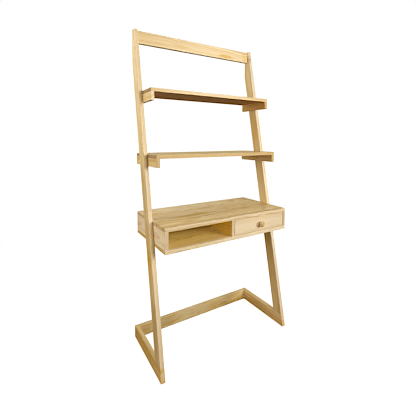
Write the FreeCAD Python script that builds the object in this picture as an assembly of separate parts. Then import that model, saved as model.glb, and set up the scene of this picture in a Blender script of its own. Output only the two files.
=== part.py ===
"""Ladder desk in clear-finished pine: two leaning posts on floor runners, two shelves, a desk box and a drawer.

Millimetres. +X is the user's right, +Y runs back to the wall, +Z is up.
The origin is on the floor, at the middle of the overall box, which takes in the drawer's knob.
"""
import FreeCAD, Part
import math
import os

Vector = FreeCAD.Vector
INCH = 25.4

# ---- Overall size -------------------------------------------------------------------------------
HEIGHT = 70.75 * INCH
WIDTH = 33.75 * INCH
DEPTH = 15.0 * INCH             # along a floor runner, and over the desk box
KNOB_REACH = 25.0               # how far the knob stands out in front of the drawer

# ---- Timber sections ----------------------------------------------------------------------------
FRAME_THICK = 0.875 * INCH      # posts and floor runners
BOARD_THICK = 0.75 * INCH       # rails, shelves, cleats and the desk box
BACK_THICK = 0.5 * INCH         # back of the desk box, and the drawer's sides and back
POST_WIDTH = 2.5 * INCH         # across the post, square to its lean
LEAN = math.radians(11.0)       # posts lean back from the vertical
RAIL_HEIGHT = 2.75 * INCH       # top rail, rear floor rail and floor runners
TOP_RAIL_DROP = 0.25 * INCH     # the top rail sits a little below the tops of the posts
TOP_RAIL_INSET = 0.375 * INCH   # and its back stands in from the wall

# ---- Shelves and desk box -----------------------------------------------------------------------
DESK_TOP_Z = 29.875 * INCH
SHELF_PITCH = 13.5 * INCH       # desk top to lower shelf, and lower shelf to upper shelf
LOWER_SHELF_DEPTH = 11.25 * INCH
UPPER_SHELF_DEPTH = 8.625 * INCH
CLEAT_HEIGHT = 1.75 * INCH
DESK_HEIGHT = 5.0 * INCH
CUBBY_WIDTH = 15.0 * INCH       # open compartment at the left of the desk box

# ---- Drawer -------------------------------------------------------------------------------------
DRAWER_TRAVEL = 260.0
FRONT_GAP = 1.6                 # round the inset drawer front
SIDE_GAP = 1.2                  # between a drawer side and the desk box
RUN_GAP = 0.4                   # wax film under the drawer sides
LID_GAP = 3.5                   # above the drawer sides
BACK_STEP = 15.0                # the drawer's back is this much lower than its sides
PANEL_THICK = 5.0               # plywood bottom of the drawer
PANEL_RISE = 8.0                # from a side's lower edge up to the plywood
GROOVE_DEPTH = 5.0
REST_BLOCK = (20.0, 9.5, 40.0)
REST_GAP = 0.3                  # closed drawer to the rest blocks
STOP_BLOCK = (60.0, 0.75 * INCH, 12.0)
STOP_GAP = 0.5                  # pulled-out clip to the stop block
CLIP_SIZE = (30.0, 3.0, 30.0)
CLIP_TOP_GAP = 4.0              # clip to the underside of the desk top
KNOB_RADIUS = 17.5

# ---- Edges and hardware -------------------------------------------------------------------------
EASE = 1.5                      # sanded round-over on exposed edges
FRONT_EASE = 2.5                # larger round-over on the drawer front
TOE_ROUND = 6.0
KINK_ROUND = 40.0               # where a post's back turns vertical to lie on the wall
DOWEL_RADIUS = 4.0
DOWEL_LENGTH = 30.0
FOOT_DOWEL_LENGTH = 50.0
DRAWER_DOWEL_RADIUS = 3.0
DOWEL_CHAMFER = 0.8
GLUE_ROOM = 1.0                 # a dowel's hole is deeper than the dowel at each end
SCREW_RADIUS = 2.1
SCREW_HEAD_RADIUS = 4.2
SCREW_LENGTH = 36.0
SHORT_SCREW_LENGTH = 24.0
PANEL_SCREW_LENGTH = 16.0
PLUG_RADIUS = 5.0               # counterbore under a shelf cleat
BOLT_RADIUS = 3.0
BOLT_HEAD_RADIUS = 6.0
BOLT_LENGTH = 33.0
INSERT_RADIUS = 4.8
INSERT_LENGTH = 13.0
CAM_RADIUS = 7.5
CAM_DEPTH = 12.5
CAM_INSET = 24.0                # rail end to the middle of its cam
CAM_BOLT_THREAD = 11.0          # how far a cam bolt screws into a post
TINY = 0.01

# ---- Worked-out places --------------------------------------------------------------------------
REAR = (DEPTH + KNOB_REACH) / 2
FRONT = REAR - DEPTH
INNER_X = WIDTH / 2 - FRAME_THICK
POST_RUN = POST_WIDTH / math.cos(LEAN)
KINK_Z = (DEPTH - POST_RUN) / math.tan(LEAN)
TOP_RAIL_Z = HEIGHT - TOP_RAIL_DROP - RAIL_HEIGHT
LOWER_SHELF_Z = DESK_TOP_Z + SHELF_PITCH
UPPER_SHELF_Z = LOWER_SHELF_Z + SHELF_PITCH
DESK_BOTTOM_Z = DESK_TOP_Z - DESK_HEIGHT
OPEN_LOW = DESK_BOTTOM_Z + BOARD_THICK
OPEN_HIGH = DESK_TOP_Z - BOARD_THICK
BOX_BACK = REAR - BACK_THICK
CUBBY_LEFT = -INNER_X + BOARD_THICK
DIVIDER_X = CUBBY_LEFT + CUBBY_WIDTH
BAY_LEFT = DIVIDER_X + BOARD_THICK
BAY_RIGHT = INNER_X - BOARD_THICK
BAY_MIDDLE = (BAY_LEFT + BAY_RIGHT) / 2
DRAWER_SHOULDER = FRONT + BOARD_THICK
DRAWER_REAR = BOX_BACK - REST_BLOCK[1] - REST_GAP
DRAWER_BACK_Y = DRAWER_REAR - BACK_THICK
SIDE_LOW = OPEN_LOW + RUN_GAP
SIDE_HIGH = OPEN_HIGH - LID_GAP
SIDE_INNER_LEFT = BAY_LEFT + SIDE_GAP + BACK_THICK
SIDE_INNER_RIGHT = BAY_RIGHT - SIDE_GAP - BACK_THICK
PANEL_LOW = SIDE_LOW + PANEL_RISE
PANEL_HIGH = PANEL_LOW + PANEL_THICK
CLIP_FRONT = DRAWER_BACK_Y - CLIP_SIZE[1]
STOP_REAR = CLIP_FRONT - DRAWER_TRAVEL - STOP_GAP
KNOB_Z = (OPEN_LOW + OPEN_HIGH) / 2
SIDES = {"left": -1, "right": 1}


# ---- Shared helpers -----------------------------------------------------------------------------
def block(low, high):
    """A board from its lowest corner to its highest corner."""
    low, high = Vector(*low), Vector(*high)
    size = high - low
    return Part.makeBox(size.x, size.y, size.z, low)


def ease(solid, wanted, radius=EASE):
    """Rounds the edges of a solid that the test picks out."""
    edges = [edge for edge in solid.Edges if wanted(edge.BoundBox)]
    return solid.makeFillet(radius, edges)


def lies_along(box, axis):
    """True for a straight edge that runs along X, Y or Z."""
    lengths = {"X": box.XLength, "Y": box.YLength, "Z": box.ZLength}
    return all(length < TINY for name, length in lengths.items() if name != axis)


def outline(corners):
    """A closed YZ outline at X = 0, from (y, z, corner radius) in order round it."""
    points = [Vector(0, y, z) for y, z, radius in corners]
    edges = []
    starts, ends = [], []
    for index, (y, z, radius) in enumerate(corners):
        here = points[index]
        back = (points[index - 1] - here).normalize()
        onward = (points[(index + 1) % len(points)] - here).normalize()
        half_turn = back.getAngle(onward) / 2
        setback = radius / math.tan(half_turn)
        starts.append(here + back * setback)
        ends.append(here + onward * setback)
        if radius:
            middle = (back + onward).normalize()
            crown = here + middle * (radius / math.sin(half_turn) - radius)
            edges.append(Part.Arc(starts[-1], crown, ends[-1]).toShape())
    for index, end in enumerate(ends):
        edges.append(Part.LineSegment(end, starts[(index + 1) % len(starts)]).toShape())
    return Part.Wire(Part.__sortEdges__(edges))


def slab(corners, x_low, thickness):
    """A YZ outline given thickness along X."""
    face = Part.Face(outline(corners))
    face.translate(Vector(x_low, 0, 0))
    return face.extrude(Vector(thickness, 0, 0))


def placed(shape, spot, direction):
    """Moves a shape built up +Z from the origin, so that it starts at a spot and points a way."""
    turned = shape.copy()
    turned.Placement = FreeCAD.Placement(Vector(*spot), FreeCAD.Rotation(Vector(0, 0, 1), Vector(*direction)))
    return turned


def group(solids):
    """Identical pieces kept together as separate solids."""
    return Part.makeCompound(solids)


def bored(solid, holes):
    """A piece of timber with its holes cut out."""
    return solid.cut(holes)


# ---- Hardware shapes, each built up +Z from the origin ------------------------------------------
def dowel(radius, length):
    rod = Part.makeCylinder(radius, length)
    return rod.makeChamfer(DOWEL_CHAMFER, [edge for edge in rod.Edges if edge.Length < length])


def dowel_hole(radius, length):
    return Part.makeCylinder(radius, length + 2 * GLUE_ROOM, Vector(0, 0, -GLUE_ROOM))


def fastener_body(radius, head_radius, length):
    """A flat head flush with the start, a shank, and a short point."""
    head = Part.makeCone(head_radius, radius, head_radius - radius)
    shank = Part.makeCylinder(radius, length - 2 * radius)
    point = Part.makeCone(radius, radius / 3, 2 * radius, Vector(0, 0, length - 2 * radius))
    return head.fuse([shank, point]).removeSplitter()


def cross_recess(head_radius):
    """The driver's cross in a screw head."""
    reach = head_radius * 0.6
    width = head_radius * 0.22
    depth = head_radius * 0.45
    slots = [block((-reach, -width, 0), (reach, width, depth)), block((-width, -reach, 0), (width, reach, depth))]
    return slots[0].fuse(slots[1])


def wood_screw(length):
    return fastener_body(SCREW_RADIUS, SCREW_HEAD_RADIUS, length).cut(cross_recess(SCREW_HEAD_RADIUS))


def screw_hole(length):
    return fastener_body(SCREW_RADIUS, SCREW_HEAD_RADIUS, length)


def hex_socket(across, depth):
    """A six-sided key socket."""
    corners = [Vector(across / math.sqrt(3), 0, 0)]
    spin = FreeCAD.Rotation(Vector(0, 0, 1), 60)
    for _ in range(5):
        corners.append(spin.multVec(corners[-1]))
    return Part.Face(Part.makePolygon(corners + corners[:1])).extrude(Vector(0, 0, depth))


def connector_bolt():
    key = hex_socket(BOLT_RADIUS * 4 / 3, BOLT_RADIUS)
    return fastener_body(BOLT_RADIUS, BOLT_HEAD_RADIUS, BOLT_LENGTH).cut(key)


def threaded_insert():
    """A brass sleeve with three driving rings, bored for the bolt."""
    sleeve = Part.makeCylinder(INSERT_RADIUS, INSERT_LENGTH)
    for step in range(1, 4):
        ring_z = step * INSERT_LENGTH / 4
        ring = Part.makeCylinder(INSERT_RADIUS, 1.0, Vector(0, 0, ring_z))
        sleeve = sleeve.cut(ring.cut(Part.makeCylinder(INSERT_RADIUS - 0.6, 1.0, Vector(0, 0, ring_z))))
    return sleeve


def cam_bolt():
    """Thread in the post, shank along the rail, and a ball head inside the cam."""
    length = CAM_BOLT_THREAD + CAM_INSET
    shank = Part.makeCylinder(BOLT_RADIUS, length - 2)
    head = Part.makeSphere(BOLT_RADIUS + 0.6, Vector(0, 0, length))
    return shank.fuse(head).removeSplitter()


def cam_disc():
    """Round cam, flush with the rail's back, with a driver's cross in its face."""
    disc = Part.makeCylinder(CAM_RADIUS, CAM_DEPTH)
    return disc.cut(cross_recess(CAM_RADIUS))


# ---- Where the hardware goes --------------------------------------------------------------------
def post_front_y(z):
    return FRONT + z * math.tan(LEAN)


def post_middle_y(z):
    return post_front_y(z) + POST_RUN / 2


def foot_dowel_spots(side):
    x = SIDES[side] * (INNER_X + FRAME_THICK / 2)
    z = RAIL_HEIGHT - FOOT_DOWEL_LENGTH / 2
    return [((x, post_middle_y(RAIL_HEIGHT) + shift, z), (0, 0, 1)) for shift in (-POST_RUN / 4, POST_RUN / 4)]


def rail_back(rail_low):
    """The floor rail's back is in the wall plane, and the top rail's stands in from it."""
    return REAR if rail_low == 0 else REAR - TOP_RAIL_INSET


def rail_middle(rail_low):
    return rail_back(rail_low) - BOARD_THICK / 2


def rail_dowel_spots(side, rail_low):
    """Two dowels in each rail end, above and below its cam bolt."""
    sign = SIDES[side]
    start_x = sign * (INNER_X + DOWEL_LENGTH * 0.4)
    spots = []
    for share in (0.2, 0.8):
        spots.append(((start_x, rail_middle(rail_low), rail_low + share * RAIL_HEIGHT), (-sign, 0, 0)))
    return spots


def cam_bolt_spot(side, rail_low):
    sign = SIDES[side]
    return ((sign * (INNER_X + CAM_BOLT_THREAD), rail_middle(rail_low), rail_low + RAIL_HEIGHT / 2), (-sign, 0, 0))


def cam_spot(side, rail_low):
    sign = SIDES[side]
    return ((sign * (INNER_X - CAM_INSET), rail_back(rail_low), rail_low + RAIL_HEIGHT / 2), (0, -1, 0))


def cleat_screw_spots(side, shelf_z):
    """Two screws from a cleat's inner face into the post."""
    sign = SIDES[side]
    z = shelf_z - BOARD_THICK - CLEAT_HEIGHT / 2
    x = sign * (INNER_X - BOARD_THICK)
    return [((x, post_middle_y(z) + shift, z), (sign, 0, 0)) for shift in (-POST_RUN / 4, POST_RUN / 4)]


def shelf_screw_spots(side, shelf_z, shelf_depth):
    """Two screws up through a cleat into the shelf board, their heads in deep counterbores."""
    x = SIDES[side] * (INNER_X - BOARD_THICK / 2)
    z = shelf_z - BOARD_THICK * 0.25 - SCREW_LENGTH
    return [((x, REAR - shelf_depth * share, z), (0, 0, 1)) for share in (0.12, 0.88)]


def counterbore(spot):
    """Opens a cleat from below up to a shelf screw's head, at the cleat's own underside."""
    (x, y, z), direction = spot
    return Part.makeCylinder(PLUG_RADIUS, CLEAT_HEIGHT, Vector(x, y, z - CLEAT_HEIGHT))


def desk_bolt_spots(side):
    """Four bolts from inside the desk box into the post, in a square that follows its lean."""
    sign = SIDES[side]
    x = sign * (INNER_X - BOARD_THICK)
    heights = [OPEN_LOW + share * (OPEN_HIGH - OPEN_LOW) for share in (0.25, 0.75)]
    shifts = (-POST_RUN / 4, POST_RUN / 4)
    return [((x, post_middle_y(z) + shift, z), (sign, 0, 0)) for z in heights for shift in shifts]


def insert_spot(bolt_spot):
    """The insert sits in the post, just under its inner face."""
    (x, y, z), direction = bolt_spot
    return ((direction[0] * (INNER_X + 0.5), y, z), direction)


def upright_middles():
    """X at the middle of the desk box's two ends and its divider."""
    return [-INNER_X + BOARD_THICK / 2, DIVIDER_X + BOARD_THICK / 2, INNER_X - BOARD_THICK / 2]


def desk_dowel_spots():
    z = OPEN_HIGH - DOWEL_LENGTH * 0.6
    return [((x, FRONT + DEPTH * share, z), (0, 0, 1)) for x in upright_middles() for share in (0.15, 0.8)]


def desk_screw_spots():
    return [((x, FRONT + DEPTH * share, DESK_BOTTOM_Z), (0, 0, 1)) for x in upright_middles() for share in (0.15, 0.8)]


def back_screw_spots():
    heights = [OPEN_LOW + 18, OPEN_HIGH - 25]
    return [((x, REAR, z), (0, -1, 0)) for x in upright_middles() for z in heights]


def stop_screw_spots():
    y = STOP_REAR - STOP_BLOCK[1] / 2
    z = OPEN_HIGH - STOP_BLOCK[2]
    return [((BAY_MIDDLE + shift, y, z), (0, 0, 1)) for shift in (-STOP_BLOCK[0] / 3, STOP_BLOCK[0] / 3)]


def drawer_side_middle(side):
    if side == "left":
        return SIDE_INNER_LEFT - BACK_THICK / 2
    return SIDE_INNER_RIGHT + BACK_THICK / 2


def drawer_dowel_spots(side):
    y = DRAWER_SHOULDER - DOWEL_LENGTH * 0.4
    return [((drawer_side_middle(side), y, SIDE_LOW + rise), (0, 1, 0)) for rise in (30, 65)]


def drawer_back_screw_spots(side):
    sign = SIDES[side]
    x = drawer_side_middle(side) + sign * BACK_THICK / 2
    return [((x, DRAWER_BACK_Y + BACK_THICK / 2, PANEL_HIGH + rise), (-sign, 0, 0)) for rise in (12, 42)]


def panel_screw_spots():
    y = DRAWER_BACK_Y + BACK_THICK / 2
    return [((BAY_MIDDLE + shift, y, PANEL_LOW), (0, 0, 1)) for shift in (-110, 0, 110)]


def clip_screw_spots():
    z = SIDE_HIGH - BACK_STEP - 8
    return [((BAY_MIDDLE + shift, CLIP_FRONT, z), (0, 1, 0)) for shift in (-9, 9)]


def both_sides(spots_for):
    """The spots of both sides in one list."""
    return [spot for side in SIDES for spot in spots_for(side)]


def cut_all(shape, spots):
    return [placed(shape, *spot) for spot in spots]


# ---- Frame timber -------------------------------------------------------------------------------
def post(side):
    """Leaning post: its front runs straight from the foot to the top, and its back turns vertical on the wall."""
    x_low = -WIDTH / 2 if side == "left" else INNER_X
    corners = [
        (post_front_y(RAIL_HEIGHT), RAIL_HEIGHT, 0),
        (post_front_y(HEIGHT), HEIGHT, EASE),
        (REAR, HEIGHT, EASE),
        (REAR, KINK_Z, KINK_ROUND),
        (post_front_y(RAIL_HEIGHT) + POST_RUN, RAIL_HEIGHT, 0),
    ]
    blank = slab(corners, x_low, FRAME_THICK)
    blank = ease(blank, lambda box: box.XLength < TINY and box.ZMax > RAIL_HEIGHT + TINY)
    holes = cut_all(dowel_hole(DOWEL_RADIUS, FOOT_DOWEL_LENGTH), foot_dowel_spots(side))
    holes += cut_all(dowel_hole(DOWEL_RADIUS, DOWEL_LENGTH), rail_dowel_spots(side, TOP_RAIL_Z))
    holes.append(placed(cam_bolt(), *cam_bolt_spot(side, TOP_RAIL_Z)))
    for shelf_z in (LOWER_SHELF_Z, UPPER_SHELF_Z):
        holes += cut_all(screw_hole(SCREW_LENGTH), cleat_screw_spots(side, shelf_z))
    for spot in desk_bolt_spots(side):
        holes.append(placed(Part.makeCylinder(INSERT_RADIUS, INSERT_LENGTH), *insert_spot(spot)))
        holes.append(placed(screw_clearance(), *spot))
    return bored(blank, holes)


def screw_clearance():
    """The connector bolt's own outline, with no key socket."""
    return fastener_body(BOLT_RADIUS, BOLT_HEAD_RADIUS, BOLT_LENGTH)


def top_edge_cutter(x_edge, inward, y_low, y_high):
    """What a round-over takes off one top edge of a floor runner."""
    x_low = min(x_edge, x_edge + inward * EASE)
    corner = block((x_low, y_low, RAIL_HEIGHT - EASE), (x_low + EASE, y_high, RAIL_HEIGHT))
    rod_start = Vector(x_edge + inward * EASE, y_low, RAIL_HEIGHT - EASE)
    return corner.cut(Part.makeCylinder(EASE, y_high - y_low, rod_start, Vector(0, 1, 0)))


def runner(side):
    """Floor runner under a post: its front end follows the post's lean down to a rounded toe."""
    x_low = -WIDTH / 2 if side == "left" else INNER_X
    corners = [
        (FRONT, 0, TOE_ROUND),
        (REAR, 0, 0),
        (REAR, RAIL_HEIGHT, 0),
        (post_front_y(RAIL_HEIGHT), RAIL_HEIGHT, 0),
    ]
    blank = slab(corners, x_low, FRAME_THICK)
    foot_rear = post_front_y(RAIL_HEIGHT) + POST_RUN
    blank = ease(blank, lambda box: box.XLength < TINY and box.YMin < REAR - TINY and box.ZMin < RAIL_HEIGHT - TINY)
    holes = cut_all(dowel_hole(DOWEL_RADIUS, FOOT_DOWEL_LENGTH), foot_dowel_spots(side))
    holes += cut_all(dowel_hole(DOWEL_RADIUS, DOWEL_LENGTH), rail_dowel_spots(side, 0))
    holes.append(placed(cam_bolt(), *cam_bolt_spot(side, 0)))
    holes.append(top_edge_cutter(x_low, 1, foot_rear, REAR))
    holes.append(top_edge_cutter(x_low + FRAME_THICK, -1, foot_rear, REAR))
    return bored(blank, holes)


def rail(low_z):
    """Rail on edge between the side frames."""
    back = rail_back(low_z)
    board = block((-INNER_X, back - BOARD_THICK, low_z), (INNER_X, back, low_z + RAIL_HEIGHT))
    board = ease(board, lambda box: lies_along(box, "X"))
    holes = cut_all(dowel_hole(DOWEL_RADIUS, DOWEL_LENGTH), both_sides(lambda side: rail_dowel_spots(side, low_z)))
    for side in SIDES:
        holes.append(placed(cam_bolt(), *cam_bolt_spot(side, low_z)))
        holes.append(placed(Part.makeCylinder(CAM_RADIUS, CAM_DEPTH), *cam_spot(side, low_z)))
    return bored(board, holes)


# ---- Shelves ------------------------------------------------------------------------------------
def shelf_board(shelf_z, shelf_depth):
    board = block((-INNER_X, REAR - shelf_depth, shelf_z - BOARD_THICK), (INNER_X, REAR, shelf_z))
    board = ease(board, lambda box: True)
    spots = both_sides(lambda side: shelf_screw_spots(side, shelf_z, shelf_depth))
    return bored(board, cut_all(screw_hole(SCREW_LENGTH), spots))


def cleat(side, shelf_z, shelf_depth):
    """Batten under a shelf's end, flush with its end and front, screwed to the post."""
    x_low = -INNER_X if side == "left" else INNER_X - BOARD_THICK
    top = shelf_z - BOARD_THICK
    batten = block((x_low, REAR - shelf_depth, top - CLEAT_HEIGHT), (x_low + BOARD_THICK, REAR, top))
    batten = ease(batten, lambda box: box.ZMin < top - TINY and box.YMin < REAR - TINY)
    up_spots = shelf_screw_spots(side, shelf_z, shelf_depth)
    holes = cut_all(screw_hole(SCREW_LENGTH), up_spots)
    holes += [counterbore(spot) for spot in up_spots]
    holes += cut_all(screw_hole(SCREW_LENGTH), cleat_screw_spots(side, shelf_z))
    return bored(batten, holes)


# ---- Desk box -----------------------------------------------------------------------------------
def desk_board(low_z, holes):
    """Full-width top or bottom of the desk box."""
    board = block((-INNER_X, FRONT, low_z), (INNER_X, REAR, low_z + BOARD_THICK))
    return bored(ease(board, lambda box: True), holes)


def desk_top_board():
    holes = cut_all(dowel_hole(DOWEL_RADIUS, DOWEL_LENGTH), desk_dowel_spots())
    holes += cut_all(screw_hole(SHORT_SCREW_LENGTH), stop_screw_spots())
    return desk_board(OPEN_HIGH, holes)


def desk_bottom_board():
    return desk_board(DESK_BOTTOM_Z, cut_all(screw_hole(SCREW_LENGTH), desk_screw_spots()))


def desk_upright(x_low, holes):
    """An end or the divider of the desk box, with its front corners eased."""
    board = block((x_low, FRONT, OPEN_LOW), (x_low + BOARD_THICK, BOX_BACK, OPEN_HIGH))
    board = ease(board, lambda box: lies_along(box, "Z") and box.YMax < FRONT + TINY)
    holes = holes + cut_all(dowel_hole(DOWEL_RADIUS, DOWEL_LENGTH), desk_dowel_spots())
    holes += cut_all(screw_hole(SCREW_LENGTH), desk_screw_spots() + back_screw_spots())
    return bored(board, holes)


def desk_end(side):
    x_low = -INNER_X if side == "left" else INNER_X - BOARD_THICK
    return desk_upright(x_low, cut_all(screw_clearance(), desk_bolt_spots(side)))


def desk_divider():
    return desk_upright(DIVIDER_X, [])


def desk_back_panel():
    panel = block((-INNER_X, BOX_BACK, OPEN_LOW), (INNER_X, REAR, OPEN_HIGH))
    return bored(panel, cut_all(screw_hole(SCREW_LENGTH), back_screw_spots()))


def drawer_rest_blocks():
    """Two blocks on the back panel that a closed drawer's sides come up to."""
    width, depth, height = REST_BLOCK
    low = OPEN_LOW + (OPEN_HIGH - OPEN_LOW - height) / 2
    blocks = []
    for middle in (drawer_side_middle("left"), drawer_side_middle("right")):
        x_low = min(max(middle - width / 2, BAY_LEFT), BAY_RIGHT - width)
        blocks.append(block((x_low, BOX_BACK - depth, low), (x_low + width, BOX_BACK, low + height)))
    return group(blocks)


def drawer_stop_block():
    """Block under the desk top that the drawer's clip meets when the drawer is out."""
    width, depth, height = STOP_BLOCK
    low = (BAY_MIDDLE - width / 2, STOP_REAR - depth, OPEN_HIGH - height)
    stop = block(low, (BAY_MIDDLE + width / 2, STOP_REAR, OPEN_HIGH))
    return bored(stop, cut_all(screw_hole(SHORT_SCREW_LENGTH), stop_screw_spots()))


# ---- Drawer -------------------------------------------------------------------------------------
def drawer_bottom_panel():
    low = (SIDE_INNER_LEFT - GROOVE_DEPTH, DRAWER_SHOULDER - GROOVE_DEPTH, PANEL_LOW)
    return block(low, (SIDE_INNER_RIGHT + GROOVE_DEPTH, DRAWER_REAR, PANEL_HIGH))


def drawer_front():
    low = (BAY_LEFT + FRONT_GAP, FRONT, OPEN_LOW + FRONT_GAP)
    board = block(low, (BAY_RIGHT - FRONT_GAP, DRAWER_SHOULDER, OPEN_HIGH - FRONT_GAP))
    board = ease(board, lambda box: box.YMax < FRONT + TINY, FRONT_EASE)
    holes = [drawer_bottom_panel(), placed(knob_screw(), *knob_screw_spot()), placed(knob_shank_hole(), *knob_screw_spot())]
    holes += cut_all(dowel_hole(DRAWER_DOWEL_RADIUS, DOWEL_LENGTH), both_sides(drawer_dowel_spots))
    return bored(board, holes)


def drawer_side(side):
    """Side of the drawer box, grooved for the plywood bottom."""
    middle = drawer_side_middle(side)
    low = (middle - BACK_THICK / 2, DRAWER_SHOULDER, SIDE_LOW)
    board = block(low, (middle + BACK_THICK / 2, DRAWER_REAR, SIDE_HIGH))
    board = ease(board, lambda box: lies_along(box, "Y") and box.ZMin > SIDE_HIGH - TINY)
    holes = [drawer_bottom_panel()]
    holes += cut_all(dowel_hole(DRAWER_DOWEL_RADIUS, DOWEL_LENGTH), drawer_dowel_spots(side))
    holes += cut_all(screw_hole(SCREW_LENGTH), drawer_back_screw_spots(side))
    return bored(board, holes)


def drawer_back():
    """Back of the drawer box, standing on the plywood bottom and lower than the sides."""
    low = (SIDE_INNER_LEFT, DRAWER_BACK_Y, PANEL_HIGH)
    board = block(low, (SIDE_INNER_RIGHT, DRAWER_REAR, SIDE_HIGH - BACK_STEP))
    board = ease(board, lambda box: lies_along(box, "X") and box.ZMin > SIDE_HIGH - BACK_STEP - TINY)
    holes = cut_all(screw_hole(SCREW_LENGTH), both_sides(drawer_back_screw_spots))
    holes += cut_all(screw_hole(PANEL_SCREW_LENGTH), panel_screw_spots())
    holes += cut_all(screw_hole(BACK_THICK), clip_screw_spots())
    return bored(board, holes)


def drawer_plywood():
    return bored(drawer_bottom_panel(), cut_all(screw_hole(PANEL_SCREW_LENGTH), panel_screw_spots()))


def drawer_stop_clip():
    """Springy plate on the drawer's back that catches the stop block."""
    width, thickness, height = CLIP_SIZE
    top = OPEN_HIGH - CLIP_TOP_GAP
    plate = block((BAY_MIDDLE - width / 2, CLIP_FRONT, top - height), (BAY_MIDDLE + width / 2, DRAWER_BACK_Y, top))
    plate = ease(plate, lambda box: lies_along(box, "Y"), 3.0)
    return bored(plate, cut_all(screw_hole(BACK_THICK), clip_screw_spots()))


def knob_outline():
    """Half section of the turned knob: radius along X, distance from the drawer front up Z."""
    foot, neck, waist = KNOB_RADIUS * 0.52, KNOB_RADIUS * 0.38, KNOB_RADIUS * 0.55
    foot_top = Vector(foot, 0, KNOB_REACH * 0.06)
    neck_point = Vector(neck, 0, KNOB_REACH * 0.26)
    waist_point = Vector(waist, 0, KNOB_REACH * 0.46)
    crown = Vector(0, 0, KNOB_REACH)
    rim = [
        waist_point,
        Vector(KNOB_RADIUS * 0.87, 0, KNOB_REACH * 0.53),
        Vector(KNOB_RADIUS, 0, KNOB_REACH * 0.68),
        Vector(KNOB_RADIUS * 0.87, 0, KNOB_REACH * 0.84),
        Vector(KNOB_RADIUS * 0.5, 0, KNOB_REACH * 0.965),
        crown,
    ]
    dome = Part.BSplineCurve()
    dome.interpolate(rim, InitialTangent=Vector(1, 0, 0.35), FinalTangent=Vector(-1, 0, 0))
    return [
        Part.LineSegment(Vector(0, 0, 0), Vector(foot, 0, 0)),
        Part.LineSegment(Vector(foot, 0, 0), foot_top),
        Part.Arc(foot_top, neck_point, waist_point),
        dome,
        Part.LineSegment(crown, Vector(0, 0, 0)),
    ]


def drawer_knob():
    wire = Part.Wire([piece.toShape() for piece in knob_outline()])
    turned = Part.Face(wire).revolve(Vector(0, 0, 0), Vector(0, 0, 1), 360)
    knob = placed(turned, (BAY_MIDDLE, FRONT, KNOB_Z), (0, -1, 0))
    return bored(knob, [placed(knob_shank_hole(), *knob_screw_spot())])


def knob_screw_spot():
    """The knob's screw starts inside the drawer and points out through its front."""
    return ((BAY_MIDDLE, DRAWER_SHOULDER, KNOB_Z), (0, -1, 0))


def knob_shank_hole():
    return Part.makeCylinder(SCREW_RADIUS, BOARD_THICK + KNOB_REACH / 2)


def knob_screw():
    """Machine screw with a low round head behind the drawer front."""
    head = Part.makeCone(SCREW_HEAD_RADIUS * 0.7, SCREW_HEAD_RADIUS, 2.4, Vector(0, 0, -2.4))
    cross = cross_recess(SCREW_HEAD_RADIUS)
    cross.translate(Vector(0, 0, -2.4))
    return head.cut(cross).fuse(knob_shank_hole()).removeSplitter()


# ---- Hardware groups ----------------------------------------------------------------------------
def dowels(radius, length, spots):
    return group(cut_all(dowel(radius, length), spots))


def screws(length, spots):
    return group(cut_all(wood_screw(length), spots))


def cleat_screws():
    spots = []
    for shelf_z in (LOWER_SHELF_Z, UPPER_SHELF_Z):
        spots += both_sides(lambda side: cleat_screw_spots(side, shelf_z))
    return screws(SCREW_LENGTH, spots)


def shelf_screws():
    spots = both_sides(lambda side: shelf_screw_spots(side, LOWER_SHELF_Z, LOWER_SHELF_DEPTH))
    spots += both_sides(lambda side: shelf_screw_spots(side, UPPER_SHELF_Z, UPPER_SHELF_DEPTH))
    return screws(SCREW_LENGTH, spots)


def post_inserts():
    inserts = []
    for spot in both_sides(desk_bolt_spots):
        insert = placed(threaded_insert(), *insert_spot(spot))
        inserts.append(insert.cut(placed(screw_clearance(), *spot)))
    return group(inserts)


def rail_cams():
    cams = []
    for side in SIDES:
        for low_z in (0, TOP_RAIL_Z):
            disc = placed(cam_disc(), *cam_spot(side, low_z))
            cams.append(disc.cut(placed(cam_bolt(), *cam_bolt_spot(side, low_z))))
    return group(cams)


def rail_cam_bolts():
    return group([placed(cam_bolt(), *cam_bolt_spot(side, low_z)) for side in SIDES for low_z in (0, TOP_RAIL_Z)])


# ---- The whole desk -----------------------------------------------------------------------------
def frame_pieces():
    pieces = {}
    for side in SIDES:
        pieces[side + "_post"] = post(side)
        pieces[side + "_floor_runner"] = runner(side)
        pieces["upper_shelf_" + side + "_cleat"] = cleat(side, UPPER_SHELF_Z, UPPER_SHELF_DEPTH)
        pieces["lower_shelf_" + side + "_cleat"] = cleat(side, LOWER_SHELF_Z, LOWER_SHELF_DEPTH)
        pieces["desk_" + side + "_end"] = desk_end(side)
    pieces["rear_floor_rail"] = rail(0)
    pieces["top_rail"] = rail(TOP_RAIL_Z)
    pieces["upper_shelf_board"] = shelf_board(UPPER_SHELF_Z, UPPER_SHELF_DEPTH)
    pieces["lower_shelf_board"] = shelf_board(LOWER_SHELF_Z, LOWER_SHELF_DEPTH)
    pieces["desk_top_board"] = desk_top_board()
    pieces["desk_bottom_board"] = desk_bottom_board()
    pieces["desk_divider"] = desk_divider()
    pieces["desk_back_panel"] = desk_back_panel()
    pieces["drawer_rest_blocks"] = drawer_rest_blocks()
    pieces["drawer_stop_block"] = drawer_stop_block()
    return pieces


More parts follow.
